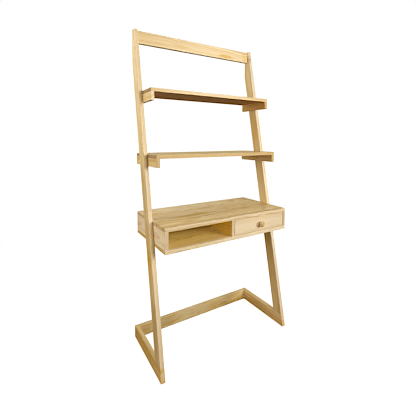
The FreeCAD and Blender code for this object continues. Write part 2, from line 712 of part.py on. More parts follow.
def frame_hardware():
    floor_spots = both_sides(lambda side: rail_dowel_spots(side, 0))
    top_spots = both_sides(lambda side: rail_dowel_spots(side, TOP_RAIL_Z))
    return {
        "post_foot_dowels": dowels(DOWEL_RADIUS, FOOT_DOWEL_LENGTH, both_sides(foot_dowel_spots)),
        "floor_rail_dowels": dowels(DOWEL_RADIUS, DOWEL_LENGTH, floor_spots),
        "top_rail_dowels": dowels(DOWEL_RADIUS, DOWEL_LENGTH, top_spots),
        "desk_top_dowels": dowels(DOWEL_RADIUS, DOWEL_LENGTH, desk_dowel_spots()),
        "rail_cams": rail_cams(),
        "rail_cam_bolts": rail_cam_bolts(),
        "cleat_screws": cleat_screws(),
        "shelf_screws": shelf_screws(),
        "desk_bottom_screws": screws(SCREW_LENGTH, desk_screw_spots()),
        "desk_back_screws": screws(SCREW_LENGTH, back_screw_spots()),
        "drawer_stop_block_screws": screws(SHORT_SCREW_LENGTH, stop_screw_spots()),
        "desk_post_bolts": group(cut_all(connector_bolt(), both_sides(desk_bolt_spots))),
        "post_threaded_inserts": post_inserts(),
    }


def drawer_pieces():
    return {
        "drawer_front": drawer_front(),
        "drawer_left_side": drawer_side("left"),
        "drawer_right_side": drawer_side("right"),
        "drawer_back": drawer_back(),
        "drawer_bottom": drawer_plywood(),
        "drawer_stop_clip": drawer_stop_clip(),
        "drawer_knob": drawer_knob(),
        "drawer_knob_screw": placed(knob_screw(), *knob_screw_spot()),
        "drawer_dowels": dowels(DRAWER_DOWEL_RADIUS, DOWEL_LENGTH, both_sides(drawer_dowel_spots)),
        "drawer_back_screws": screws(SCREW_LENGTH, both_sides(drawer_back_screw_spots)),
        "drawer_bottom_screws": screws(PANEL_SCREW_LENGTH, panel_screw_spots()),
        "drawer_clip_screws": screws(BACK_THICK, clip_screw_spots()),
    }


def main():
    os.makedirs("parts", exist_ok=True)
    pieces = {**frame_pieces(), **frame_hardware(), **drawer_pieces()}
    for name, shape in pieces.items():
        shape.exportStep("parts/" + name + ".step")
        print(name, "solids", len(shape.Solids), "valid", shape.isValid())


main()
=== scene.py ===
# %% [markdown]
# # A ladder desk in clear-finished pine
# The desk leans on a wall: two posts, two shelves, and a desk box with an open cubby and a drawer.
# The solid model already has the right shape and size for every board. What it lacks is timber, so
# nearly all the work here is one good pine finish, laid out board by board.

# %% Load the frame
import math

import bpy
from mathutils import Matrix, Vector


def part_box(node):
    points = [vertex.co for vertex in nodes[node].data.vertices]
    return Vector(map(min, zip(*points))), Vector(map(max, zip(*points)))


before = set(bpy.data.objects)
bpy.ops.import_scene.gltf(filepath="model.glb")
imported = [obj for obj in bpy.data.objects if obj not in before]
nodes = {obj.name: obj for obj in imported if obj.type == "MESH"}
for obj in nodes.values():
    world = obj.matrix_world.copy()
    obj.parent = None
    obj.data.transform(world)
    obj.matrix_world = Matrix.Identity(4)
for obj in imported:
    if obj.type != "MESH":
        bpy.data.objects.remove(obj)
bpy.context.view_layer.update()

# %% [markdown]
# ## Camera
# Furniture is photographed with upright posts kept upright, so the camera looks almost level and the
# lens is shifted down instead of tilted. The eye stands at the desk's left, a little above the lower shelf.

# %% Camera
IMAGE = 416
FOCAL_PIXELS = 275.5
OPTICAL_CENTRE = (187.5, 155.0)
EYE = (-0.9466, -1.3360, 1.1742)
TURN = (86.99, 0.0, -29.76)

lens = bpy.data.cameras.new("camera")
lens.sensor_width = 36.0
lens.lens = lens.sensor_width * FOCAL_PIXELS / IMAGE
lens.shift_x = (IMAGE / 2 - OPTICAL_CENTRE[0]) / IMAGE
lens.shift_y = (OPTICAL_CENTRE[1] - IMAGE / 2) / IMAGE
camera = bpy.data.objects.new("camera", lens)
camera.location = EYE
camera.rotation_euler = [math.radians(angle) for angle in TURN]
bpy.context.scene.collection.objects.link(camera)
bpy.context.scene.camera = camera
print("lens mm", round(lens.lens, 2), "shift", round(lens.shift_x, 4), round(lens.shift_y, 4))

# %% [markdown]
# ## Short calls for building finishes
# A finish is a tree of small sums. Writing each sum as one short call keeps the tree readable:
# every argument may be a number or the output of an earlier sum.

# %% Node helpers
MIX_COLOUR_A, MIX_COLOUR_B, MIX_COLOUR_OUT = 6, 7, 2


class Graph:
    """A node tree, with a short call for each kind of sum."""

    def __init__(self, tree):
        self.tree = tree

    def put(self, socket, value):
        if isinstance(value, bpy.types.NodeSocket):
            self.tree.links.new(value, socket)
        else:
            socket.default_value = value

    def node(self, kind, values=None, **settings):
        made = self.tree.nodes.new(kind)
        for key, value in settings.items():
            setattr(made, key, value)
        for key, value in (values or {}).items():
            self.put(made.inputs[key], value)
        return made

    def math(self, operation, first, second=0.0, third=0.0, clamp=False):
        made = self.node("ShaderNodeMath", {0: first, 1: second, 2: third}, operation=operation, use_clamp=clamp)
        return made.outputs[0]

    def span(self, value, low, high, to_low=0.0, to_high=1.0):
        """Maps a value smoothly from one span to another."""
        values = {"Value": value, "From Min": low, "From Max": high, "To Min": to_low, "To Max": to_high}
        return self.node("ShaderNodeMapRange", values, interpolation_type="SMOOTHSTEP").outputs[0]

    def mix(self, amount, first, second, blend="MIX"):
        values = {0: amount, MIX_COLOUR_A: first, MIX_COLOUR_B: second}
        return self.node("ShaderNodeMix", values, data_type="RGBA", blend_type=blend).outputs[MIX_COLOUR_OUT]

    def vector(self, operation, first, second=(0, 0, 0), out=0):
        return self.node("ShaderNodeVectorMath", {0: first, 1: second}, operation=operation).outputs[out]

    def join(self, x, y, z):
        return self.node("ShaderNodeCombineXYZ", {0: x, 1: y, 2: z}).outputs[0]

    def split(self, point):
        return self.node("ShaderNodeSeparateXYZ", {0: point}).outputs[:]

    def noise(self, point, scale, detail=2.0, roughness=0.5):
        values = {"Vector": point, "Scale": scale, "Detail": detail, "Roughness": roughness}
        return self.node("ShaderNodeTexNoise", values).outputs[0]

    def centred(self, value, size):
        """Turns a 0 to 1 value into one that swings round nothing, of a stated size."""
        return self.math("MULTIPLY", self.math("SUBTRACT", value, 0.5), size)


def colour(red, green, blue):
    return (red, green, blue, 1.0)


print("helpers ready")

# %% [markdown]
# ## Pine
# Pine is striped because a tree adds a pale, soft layer each spring and a thin, hard, orange one each
# summer. A board cuts through those layers, so the stripes are worked out in depth: the distance
# from the heart of the tree, divided into years. The same sum then draws long arches on a wide face,
# straight lines on an edge and curved rings on a sawn end, and they meet at every corner.
# Wide boards are glued up from staves, and each stave gets its own tree.
# No two boards off the pile are one colour. Over the rings, each board can take soft patches of reddish
# heartwood, a pink blush, a greenish yellow, or a lighter or darker tone. Many of these patches are painted
# light and shade, set face by face: lighter where the lamps leave a face dark, darker where they light it
# strongly, and redder or more golden where a face sits in shade.

# %% Pine colours and sizes
YEAR = 0.0066                       # thickness of one year's growth, in metres
HEART_NEAR, HEART_FAR = 0.012, 0.070
SAPWOOD = colour(0.840, 0.722, 0.545)
PALEST = colour(0.900, 0.775, 0.580)
HONEY = colour(0.770, 0.586, 0.270)
SUMMER = colour(0.470, 0.258, 0.045)
HEART = colour(0.650, 0.410, 0.068)
# BLUSH_AND_SHADE_RED is a pink in the wood, and also the red of painted shade under the upper shelf
BLUSH_AND_SHADE_RED = colour(0.600, 0.300, 0.085)
# LEMON is a greenish yellow in the wood, and also the golden green of painted bounce light in the cubby
LEMON = colour(0.740, 0.630, 0.180)
END_WOOD = colour(0.260, 0.140, 0.062)
END_LINE = colour(0.160, 0.062, 0.020)
GLUE_LINE = colour(0.420, 0.255, 0.110)


PINE_DIALS = ("Heart", "Blush", "Lemon", "End", "Edge", "Warmth", "Streaks", "Figure", "Shade")


def pine_inputs(tree):
    """The sockets of the shared pine group."""
    wanted = [("Point", "NodeSocketVector"), ("Stave", "NodeSocketFloat"), ("Seed", "NodeSocketFloat")]
    wanted += [(name, "NodeSocketFloat") for name in PINE_DIALS]
    for name, kind in wanted:
        tree.interface.new_socket(name, in_out="INPUT", socket_type=kind)
    for name, kind in (("Colour", "NodeSocketColor"), ("Roughness", "NodeSocketFloat"), ("Height", "NodeSocketFloat")):
        tree.interface.new_socket(name, in_out="OUTPUT", socket_type=kind)


def stave_layout(g, across, stave, seed):
    """Which stave a point is in, how far it is across it, and four chances drawn for that stave."""
    place = g.math("ADD", g.math("DIVIDE", across, stave), 0.5)
    index = g.math("FLOOR", place)
    inside = g.math("SUBTRACT", g.math("SUBTRACT", place, index), 0.5)
    draw = g.node("ShaderNodeTexWhiteNoise", {"Vector": g.join(index, seed, 0.0)}, noise_dimensions="2D")
    chances = list(g.split(draw.outputs["Color"])) + [draw.outputs["Value"]]
    seam = g.span(g.math("ABSOLUTE", inside), 0.488, 0.5)
    return g.math("MULTIPLY", inside, stave), chances, seam


def year_rings(g, inside, thick, along, chances, figure, seed):
    """The distance from the heart of the tree, counted in years."""
    calm = g.math("SUBTRACT", 1.0, figure)
    heart_u = g.centred(chances[0], g.math("ADD", 0.05, g.math("MULTIPLY", calm, 0.16)))
    depth = g.math("ADD", HEART_NEAR, g.math("MULTIPLY", chances[1], HEART_FAR - HEART_NEAR))
    side = g.math("SIGN", g.math("SUBTRACT", chances[2], 0.5))
    lean = g.centred(chances[3], g.math("ADD", 0.02, g.math("MULTIPLY", figure, 0.07)))
    drift = g.math("MULTIPLY", along, lean)
    heart_v = g.math("ADD", g.math("MULTIPLY", depth, side), drift)
    bow_at = g.join(seed, chances[0], g.math("MULTIPLY", along, 1.6))
    bow = g.centred(g.noise(bow_at, 1.0, 1.0), g.math("MULTIPLY", figure, 0.045))
    spot = g.join(g.math("SUBTRACT", inside, g.math("ADD", heart_u, bow)), g.math("SUBTRACT", thick, heart_v), 0.0)
    radius = g.vector("LENGTH", spot, out="Value")
    wander_at = g.join(g.math("ADD", g.math("MULTIPLY", inside, 2.0), seed), thick, g.math("MULTIPLY", along, 0.8))
    wander = g.centred(g.noise(wander_at, 9.0, 3.0), g.math("ADD", 0.005, g.math("MULTIPLY", figure, 0.032)))
    ripple_at = g.join(g.math("MULTIPLY", inside, 4.0), seed, along)
    ripple = g.centred(g.noise(ripple_at, 60.0, 2.0), 0.0016)
    radius = g.math("ADD", radius, g.math("ADD", wander, ripple))
    return g.math("DIVIDE", radius, YEAR)


def ring_marks(g, years, chances, seed):
    """Each year's thin summer line, and the slow change from lean to rich years."""
    year = g.math("FLOOR", years)
    into_year = g.math("SUBTRACT", years, year)
    rise = g.span(into_year, 0.20, 0.90)
    fall = g.span(into_year, 0.94, 1.0, 1.0, 0.0)
    luck = g.noise(g.join(g.math("MULTIPLY", year, 0.37), seed, chances[0]), 1.0, 1.0)
    summer = g.math("MULTIPLY", g.math("MULTIPLY", rise, fall), g.span(luck, 0.32, 0.66, 0.25, 1.0))
    slow = g.noise(g.join(g.math("MULTIPLY", years, 0.42), chances[1], seed), 1.0, 2.0, 0.6)
    return summer, g.span(slow, 0.44, 0.66)


def build_pine():
    """The shared pine group: depth-true rings, fibres, streaks, glue lines and end grain."""
    tree = bpy.data.node_groups.new("pine", "ShaderNodeTree")
    pine_inputs(tree)
    g = Graph(tree)
    given = g.node("NodeGroupInput").outputs
    across, thick, along = g.split(given["Point"])
    seed, streaks = given["Seed"], given["Streaks"]
    inside, chances, seam = stave_layout(g, across, given["Stave"], seed)
    years = year_rings(g, inside, thick, along, chances, given["Figure"], seed)
    summer, rich = ring_marks(g, years, chances, seed)

    shift = g.math("MULTIPLY", chances[1], 7.0)
    long_point = g.join(g.math("ADD", across, shift), g.math("ADD", thick, seed), g.math("MULTIPLY", along, 0.045))
    drift = g.noise(long_point, 30.0, 3.0, 0.6)
    streak = g.math("MULTIPLY", g.span(drift, 0.50, 0.70), streaks)
    fibre_point = g.join(across, g.math("ADD", thick, seed), g.math("MULTIPLY", along, 0.02))
    fibre = g.noise(fibre_point, 900.0, 3.0, 0.65)
    duct_point = g.join(across, thick, g.math("MULTIPLY", along, 0.06))
    duct = g.span(g.noise(duct_point, 620.0, 1.0), 0.70, 0.76)

    warmth = g.math("ADD", given["Warmth"], g.centred(chances[3], 0.25), clamp=True)
    body = g.mix(warmth, SAPWOOD, HONEY)
    body = g.mix(g.math("MULTIPLY", g.math("MULTIPLY", rich, streaks), 0.60), body, HEART)
    body = g.mix(g.math("MULTIPLY", streak, 0.60), body, HEART)
    body = g.mix(given["Heart"], body, HEART)
    body = g.mix(g.math("MULTIPLY", given["Heart"], -1.0), body, PALEST)
    body = g.mix(given["Blush"], body, BLUSH_AND_SHADE_RED)
    body = g.mix(given["Lemon"], body, LEMON)
    line = g.math("MULTIPLY", summer, g.math("ADD", 0.60, g.math("MULTIPLY", rich, 0.40)))
    body = g.mix(g.math("MULTIPLY", line, g.span(streaks, 0.0, 1.0, 0.20, 0.95)), body, SUMMER)
    body = g.mix(g.math("MULTIPLY", duct, 0.30), body, SUMMER)
    tone = g.math("ADD", given["Shade"], g.math("ADD", g.centred(fibre, 0.20), g.centred(chances[2], 0.06)))
    body = g.vector("MULTIPLY", body, g.join(tone, tone, tone))
    body = g.mix(g.math("MULTIPLY", seam, 0.55), body, GLUE_LINE)
    # long corners lighter: partly rubbed lacquer, partly a painted highlight
    body = g.mix(g.math("MULTIPLY", given["Edge"], 0.30), body, SAPWOOD)
    sawn = g.mix(g.math("MULTIPLY", summer, 0.7), END_WOOD, END_LINE)
    body = g.mix(given["End"], body, sawn)

    rough = g.math("ADD", 0.40, g.math("ADD", g.centred(fibre, 0.14), g.math("MULTIPLY", summer, -0.08)))
    rubbed = g.math("ADD", g.math("MULTIPLY", given["End"], 0.2), g.math("MULTIPLY", given["Edge"], 0.08))
    rough = g.math("ADD", rough, rubbed)
    relief = g.math("ADD", g.math("MULTIPLY", summer, 0.55), g.math("MULTIPLY", fibre, 0.35))
    relief = g.math("SUBTRACT", relief, g.math("ADD", g.math("MULTIPLY", duct, 0.3), g.math("MULTIPLY", seam, 0.5)))
    made = g.node("NodeGroupOutput").inputs
    g.put(made["Colour"], body)
    g.put(made["Roughness"], rough)
    g.put(made["Height"], relief)
    return tree


PINE = build_pine()
print("pine group has", len(PINE.nodes), "sums")

# %% [markdown]
# ## Laying a board in the tree
# Every board has its own grain direction: along its length. The finish is therefore given the board's
# three directions, so that it knows what is a long face, what is an edge and what is a sawn end.
# The patches are placed in the same directions, in metres from the board's centre. One shelf has its
# lower face painted redder and darker than its top: painted shade, for the little light under a shelf.

# %% Board directions
LEAN = math.radians(11.0)
POST_WIDTH = 0.0635
AXES = (Vector((1, 0, 0)), Vector((0, 1, 0)), Vector((0, 0, 1)))


def board_directions(name, along=None):
    """Across, thickness and along directions of a board, its centre and its half sizes."""
    low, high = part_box(name)
    size = high - low
    centre = (low + high) / 2
    if name.endswith("_post"):
        lean = Vector((0, math.sin(LEAN), math.cos(LEAN)))
        middle = low.y + POST_WIDTH / math.cos(LEAN) / 2 + size.z / 2 * math.tan(LEAN)
        spot = Vector((centre.x, middle, centre.z))
        half = (POST_WIDTH / 2, size.x / 2, size.z / 2 / math.cos(LEAN))
        return (Vector((0, math.cos(LEAN), -math.sin(LEAN))), AXES[0], lean), spot, half
    order = sorted(range(3), key=lambda axis: size[axis])
    if along is not None:
        order.remove(along)
        order.append(along)
    thin, wide, long_way = order
    return (AXES[wide], AXES[thin], AXES[long_way]), centre, (size[wide] / 2, size[thin] / 2, size[long_way] / 2)


def edge_nearness(g, parts, half):
    """Near 1 on the board's long corners, made lighter and rougher: partly lacquer rubbed thin by handling, partly a
    painted highlight.
    """
    near = []
    for part, reach in zip(parts[:2], half[:2]):
        gap = g.math("SUBTRACT", reach, g.math("ABSOLUTE", part))
        near.append(g.span(gap, 0.0, 0.0035, 1.0, 0.0))
    return g.math("MULTIPLY", near[0], near[1])


def patches(g, parts, bands, seed):
    """Soft patches of more or less colour on a board, each feathered with the grain; many are painted light and shade.
    """
    amount = 0.0
    feather_at = g.join(parts[0], float(seed), g.math("MULTIPLY", parts[2], 0.10))
    feather = g.centred(g.noise(feather_at, 120.0, 3.0, 0.6), 1.5)
    for across, along, half_wide, half_long, strength in bands:
        du = g.math("DIVIDE", g.math("SUBTRACT", parts[0], across), half_wide)
        dw = g.math("DIVIDE", g.math("SUBTRACT", parts[2], along), half_long)
        reach = g.math("ADD", g.vector("LENGTH", g.join(du, dw, 0.0), out="Value"), feather)
        amount = g.math("ADD", amount, g.span(reach, 0.35, 1.35, strength, 0.0))
    return amount


print("left post runs along", [round(v, 3) for v in board_directions("left_post")[0][2]])

# %% One finish per board
LACQUER_COAT = 0.18
LACQUER_ROUGHNESS = 0.32
GRAIN_RELIEF = 0.00025
# painted shade: the upper shelf's lower face is painted redder and darker than its top
UNDERSIDE_SHADE_FROM = -0.0080       # below this, in metres from the board's middle, is its lower face
UNDERSIDE_SHADE_FULL = -0.0094
UNDERSIDE_SHADE_DARKER = 0.10


def new_finish(name):
    """An empty finish with its surface shader."""
    material = bpy.data.materials.new(name)
    material.use_nodes = True
    g = Graph(material.node_tree)
    shader = material.node_tree.nodes["Principled BSDF"]
    return material, g, shader


def raise_grain(g, shader, height, distance, strength=1.0):
    bump = g.node("ShaderNodeBump", {"Height": height, "Distance": distance, "Strength": strength})
    g.put(shader.inputs["Normal"], bump.outputs[0])


def pine_finish(name, seed, stave=1.0, warmth=0.45, streaks=0.6, figure=0.35, shade=1.0, end=0.35, heart=(),
                tone=(), blush=(), lemon=(), painted_underside_shade=0.0, along=None):
    """Clear-lacquered pine for one board, with the grain running along it."""
    directions, centre, half = board_directions(name, along)
    material, g, shader = new_finish("pine_" + name)
    coordinates = g.node("ShaderNodeTexCoord").outputs
    from_centre = g.vector("SUBTRACT", coordinates["Object"], centre)
    parts = [g.vector("DOT_PRODUCT", from_centre, direction, out="Value") for direction in directions]
    facing = g.math("ABSOLUTE", g.vector("DOT_PRODUCT", coordinates["Normal"], directions[2], out="Value"))
    pine = g.node("ShaderNodeGroup", node_tree=PINE)
    redder = patches(g, parts, blush, seed)
    darker = patches(g, parts, tone, seed)
    # painted shade: redder and darker on the board's lower face
    if painted_underside_shade:
        underside = g.span(parts[1], UNDERSIDE_SHADE_FROM, UNDERSIDE_SHADE_FULL, 0.0, painted_underside_shade)
        redder = g.math("ADD", redder, underside)
        darker = g.math("SUBTRACT", darker, g.math("MULTIPLY", underside, UNDERSIDE_SHADE_DARKER))
    given = {
        "Point": g.join(*parts), "Stave": stave, "Seed": float(seed),
        "Heart": patches(g, parts, heart, seed), "Blush": redder,
        "Lemon": patches(g, parts, lemon, seed),
        "End": g.span(facing, 0.55, 0.9, 0.0, end), "Edge": edge_nearness(g, parts, half),
        "Warmth": warmth, "Streaks": streaks,
        "Figure": figure, "Shade": g.math("ADD", shade, darker),
    }
    for key, value in given.items():
        g.put(pine.inputs[key], value)
    g.put(shader.inputs["Base Color"], pine.outputs["Colour"])
    g.put(shader.inputs["Roughness"], pine.outputs["Roughness"])
    raise_grain(g, shader, pine.outputs["Height"], GRAIN_RELIEF)
    shader.inputs["Coat Weight"].default_value = LACQUER_COAT
    shader.inputs["Coat Roughness"].default_value = LACQUER_ROUGHNESS
    dress(name, material)


def dress(name, material):
    """Puts a finish on every slot of a piece."""
    for slot in nodes[name].material_slots:
        slot.material = material


BOARDS = {
    # On the left post, the lighter tone near the top and the darker tone low down are painted light and shade over how
    # the lamps fall, and the darker front edge at mid height is painted shade against the front lamp's bright spot.
    "left_post": {"seed": 3, "warmth": 0.42, "figure": 0.15, "streaks": 1.0,
                  "heart": [(0.0, -0.30, 0.03, 0.12, 0.6), (0.0, -0.43, 0.03, 0.09, 0.6), (0.0, -0.70, 0.03, 0.16, 0.4),
                            (-0.032, -0.52, 0.006, 0.42, -1.0), (-0.032, 0.70, 0.006, 0.40, -0.8),
                            (0.0, 0.80, 0.03, 0.20, -0.3)],
                  "tone": [(-0.032, 0.0, 0.006, 0.16, -0.10), (0.0, 0.80, 0.04, 0.22, 0.13),
                           (0.0, -0.40, 0.04, 0.16, 0.12), (0.004, 0.0, 0.03, 0.12, -0.07),
                           (0.004, -0.72, 0.03, 0.14, -0.12)]},
    # On the right post, the lighter, more golden patch at 0.845 on the inner face beside the top rail is painted light.
    "right_post": {"seed": 8, "warmth": 0.42, "figure": 0.15, "streaks": 1.0,
                   "heart": [(0.0, 0.36, 0.03, 0.16, 0.6), (0.0, -0.61, 0.03, 0.20, 0.35),
                             (0.0, -0.355, 0.03, 0.10, 0.45),
                             (-0.032, -0.50, 0.006, 0.50, -1.0), (-0.032, 0.62, 0.006, 0.28, -1.1),
                             (-0.021, 0.845, 0.013, 0.036, 0.45)],
                   "tone": [(-0.032, 0.0, 0.006, 1.2, -0.05), (-0.032, 0.70, 0.006, 0.30, -0.08),
                            (-0.032, 0.36, 0.006, 0.12, -0.04), (-0.032, -0.61, 0.006, 0.24, -0.08),
                            (0.004, 0.80, 0.03, 0.20, 0.16), (0.004, -0.355, 0.03, 0.10, -0.11),
                            (-0.021, 0.845, 0.013, 0.036, 0.40), (-0.032, 0.85, 0.004, 0.05, -0.30)]},
    "left_floor_runner": {"seed": 12, "warmth": 0.95, "figure": 0.1, "streaks": 1.2, "end": 0.04, "shade": 1.10,
                          "blush": [(0.0, 0.10, 0.10, 0.30, 0.26)],
                          "heart": [(-0.022, 0.19, 0.0030, 0.30, 1.0), (-0.010, 0.19, 0.0024, 0.30, 1.0),
                                    (0.004, 0.19, 0.0030, 0.30, 1.0), (0.017, 0.19, 0.0024, 0.30, 1.0),
                                    (0.035, 0.0, 0.006, 1.0, -0.5), (0.0, -0.188, 0.05, 0.014, -0.3)],
                          "tone": [(-0.022, 0.19, 0.0030, 0.30, -0.25), (-0.010, 0.19, 0.0024, 0.30, -0.25),
                                   (0.004, 0.19, 0.0030, 0.30, -0.25), (0.017, 0.19, 0.0024, 0.30, -0.25),
                                   (0.035, 0.0, 0.004, 1.0, -0.12)],
                          "lemon": [(0.035, 0.0, 0.004, 1.0, 0.3)]},
    "right_floor_runner": {"seed": 15, "warmth": 0.05, "figure": 0.1, "streaks": 0.9, "end": 0.04, "shade": 1.26,
                           "blush": [(0.0, 0.0, 0.10, 1.0, 0.14)],
                           "heart": [(-0.027, 0.15, 0.0036, 0.34, 1.0), (-0.014, 0.15, 0.0030, 0.34, 1.0),
                                     (-0.001, 0.15, 0.0036, 0.34, 1.0), (0.012, 0.15, 0.0030, 0.34, 1.0),
                                     (0.023, 0.15, 0.0030, 0.34, 1.0), (0.035, 0.0, 0.004, 1.0, 0.4)],
                           "tone": [(-0.027, 0.15, 0.0036, 0.34, -0.42), (-0.014, 0.15, 0.0030, 0.34, -0.42),
                                    (-0.001, 0.15, 0.0036, 0.34, -0.42), (0.012, 0.15, 0.0030, 0.34, -0.42),
                                    (0.023, 0.15, 0.0030, 0.34, -0.42), (0.035, 0.0, 0.004, 1.0, -0.12)]},
    # Along the rear rail, the lighter tone at the right end (0.36) is painted light where the right post's shadow
    # falls, and the darker tone at the left end is painted shade near the left post.
    "rear_floor_rail": {"seed": 21, "warmth": 0.60, "figure": 0.8, "streaks": 0.8, "shade": 0.95,
                        "lemon": [(0.0, 0.0, 0.10, 0.50, 0.14)],
                        "heart": [(0.005, 0.145, 0.02, 0.06, 0.45), (0.0, -0.37, 0.04, 0.05, 0.4),
                                  (0.0, -0.20, 0.04, 0.07, 0.25), (0.012, -0.05, 0.03, 0.12, -0.2),
                                  (0.0, 0.30, 0.04, 0.09, 0.35)],
                        "tone": [(0.0, -0.38, 0.05, 0.05, -0.08), (0.0, -0.24, 0.05, 0.07, -0.13),
                                 (0.0, 0.0, 0.05, 0.20, -0.03), (0.0, 0.36, 0.05, 0.08, 0.26)]},
    "top_rail": {"seed": 27, "warmth": 0.50, "figure": 0.2, "streaks": 0.6, "shade": 1.06,
                 "heart": [(-0.017, 0.214, 0.012, 0.062, 1.15), (-0.008, -0.13, 0.008, 0.08, 0.5),
                           (0.0, 0.385, 0.04, 0.03, 0.4)]},
    # the upper shelf's lower face takes painted shade, redder and darker
    "upper_shelf_board": {"seed": 31, "stave": 0.0548, "warmth": 0.65, "end": 0.75, "streaks": 0.8,
                          "painted_underside_shade": 0.9, "heart": [(-0.11, 0.0, 0.012, 1.0, 0.05)],
                          "tone": [(-0.11, 0.0, 0.012, 1.0, -0.10)]},
    "lower_shelf_board": {"seed": 37, "stave": 0.0572, "warmth": 0.12, "end": 0.70, "streaks": 0.7, "shade": 1.05,
                          "lemon": [(-0.143, 0.0, 0.008, 1.0, 0.25)], "heart": [(-0.143, 0.0, 0.008, 1.0, 0.55)],
                          "tone": [(-0.143, 0.0, 0.008, 1.0, 0.09)]},
    "upper_shelf_left_cleat": {"seed": 41, "warmth": 0.38, "streaks": 0.8, "shade": 1.12, "end": 0.18},
    # The right cleat under the upper shelf is painted redder and darker (blush and heart): painted shade, as it sits in
    # the shelf's shade.
    "upper_shelf_right_cleat": {"seed": 43, "warmth": 0.95, "streaks": 1.0, "shade": 1.05,
                                "blush": [(0.0, 0.0, 0.10, 1.0, 0.7)],
                                "heart": [(0.0, 0.0, 0.05, 0.2, 0.8)]},
    "lower_shelf_left_cleat": {"seed": 47, "warmth": 0.68, "streaks": 0.9},
    "lower_shelf_right_cleat": {"seed": 49, "warmth": 0.60, "streaks": 0.8, "blush": [(0.0, 0.0, 0.10, 1.0, 0.25)]},
    # On the desk top, the wide pale band at the back (0.130 across) and the raised shade are painted light: the rear
    # gets less light under the shelf.
    "desk_top_board": {"seed": 53, "stave": 0.0635, "warmth": 0.20, "streaks": 1.25, "figure": 1.0, "shade": 1.09,
                       "end": 0.30,
                       "heart": [(0.130, -0.10, 0.075, 0.42, -1.1), (-0.044, -0.17, 0.022, 0.15, 0.95),
                                 (0.058, -0.02, 0.014, 0.065, 0.8), (-0.02, -0.10, 0.012, 0.05, 0.7),
                                 (0.0, 0.22, 0.05, 0.22, 0.45),
                                 (-0.135, -0.23, 0.014, 0.05, 0.7), (-0.063, 0.19, 0.016, 0.05, 0.8),
                                 (-0.087, 0.05, 0.012, 0.05, 0.7), (-0.035, 0.37, 0.03, 0.06, 0.45),
                                 (0.130, 0.06, 0.012, 0.06, 0.6), (-0.190, 0.0, 0.006, 1.0, -0.4)],
                       "blush": [(-0.044, -0.21, 0.016, 0.08, 0.45), (-0.135, -0.24, 0.012, 0.05, 0.4)],
                       "tone": [(-0.190, 0.0, 0.006, 1.0, -0.14), (-0.130, 0.0, 0.05, 0.5, 0.09),
                                (0.058, -0.02, 0.014, 0.065, -0.06), (-0.044, -0.12, 0.014, 0.07, -0.05)]},
    # The cubby's floor, divider and back are painted lighter and more golden than their wood (raised shade, heart and
    # lemon): painted light, standing in for the light that bounces round inside the cubby.
    "desk_bottom_board": {"seed": 59, "stave": 0.0635, "warmth": 0.80, "figure": 0.6, "shade": 1.32, "streaks": 0.8,
                          "lemon": [(-0.03, -0.20, 0.16, 0.30, 0.75)],
                          "heart": [(-0.095, -0.20, 0.03, 0.20, 0.30), (-0.188, 0.0, 0.014, 1.0, -1.0)],
                          "tone": [(-0.190, 0.0, 0.006, 1.0, -0.34)]},
    "desk_left_end": {"seed": 61, "warmth": 0.0, "streaks": 0.4, "end": 0.30, "shade": 1.10,
                      "heart": [(0.0, 0.0, 0.10, 0.30, -0.35), (0.0, -0.190, 0.06, 0.008, -0.4)],
                      "tone": [(0.0, -0.15, 0.06, 0.05, 0.06), (0.0, 0.15, 0.06, 0.05, -0.04),
                               (0.0, -0.190, 0.06, 0.008, -0.06)]},
    "desk_right_end": {"seed": 67, "warmth": 0.35, "streaks": 0.4, "end": 0.25,
                       "heart": [(0.0, -0.190, 0.06, 0.008, -1.0)], "tone": [(0.0, -0.190, 0.06, 0.008, -0.27)]},
    "desk_divider": {"seed": 71, "warmth": 1.0, "end": 0.20, "shade": 1.54,
                     "lemon": [(0.0, 0.02, 0.20, 0.20, 0.35)],
                     "heart": [(0.0, 0.0, 0.20, 0.60, 0.95), (0.0, -0.19, 0.20, 0.016, -1.9)],
                     "tone": [(0.0, -0.19, 0.20, 0.012, -0.58)]},
    "desk_back_panel": {"seed": 73, "warmth": 0.45, "shade": 1.38, "heart": [(-0.015, -0.09, 0.007, 0.10, 0.7)]},
    "drawer_rest_blocks": {"seed": 79, "along": 2},
    "drawer_stop_block": {"seed": 83},
    "drawer_front": {"seed": 89, "warmth": 0.06, "streaks": 0.35, "figure": 0.3, "shade": 0.96,
                     "tone": [(0.0, 0.13, 0.06, 0.07, -0.05)]},
    "drawer_left_side": {"seed": 97},
    "drawer_right_side": {"seed": 101},
    "drawer_back": {"seed": 103},
    "drawer_knob": {"seed": 107, "along": 1, "warmth": 0.85, "shade": 1.02},
}
for board, choices in BOARDS.items():
    pine_finish(board, **choices)
print("boards finished", len(BOARDS))

# %% [markdown]
# ## Hardware and sheet stock
# Most of these pieces are hidden once the desk is together, but they show when the drawer is out or
# the desk is seen from behind: bright plated screws and bolts, yellow plated screws through the shelf
# cleats, dull cast cams, brass inserts, beech dowels, a thin plywood bottom and a moulded clip.

# %% Metal finishes
PLATED = colour(0.62, 0.61, 0.57)
CAST = colour(0.40, 0.40, 0.39)
BRASS = colour(0.66, 0.46, 0.17)
YELLOW_PLATED = colour(0.30, 0.20, 0.09)


def metal_finish(name, tint, roughness, speckle, relief):
    """Metal with faint uneven plating, fine scratches and a little relief."""
    material, g, shader = new_finish(name)
    point = g.node("ShaderNodeTexCoord").outputs["Object"]
    cloud = g.noise(point, 160.0, 3.0)
    grain = g.noise(point, 2600.0, 2.0)
    tint_low = colour(*[part * (1 - speckle) for part in tint[:3]])
    g.put(shader.inputs["Base Color"], g.mix(cloud, tint_low, tint))
    rough = g.math("ADD", roughness, g.centred(g.math("ADD", cloud, grain), 0.18))
    g.put(shader.inputs["Roughness"], rough)
    shader.inputs["Metallic"].default_value = 1.0
    raise_grain(g, shader, grain, relief)
    return material


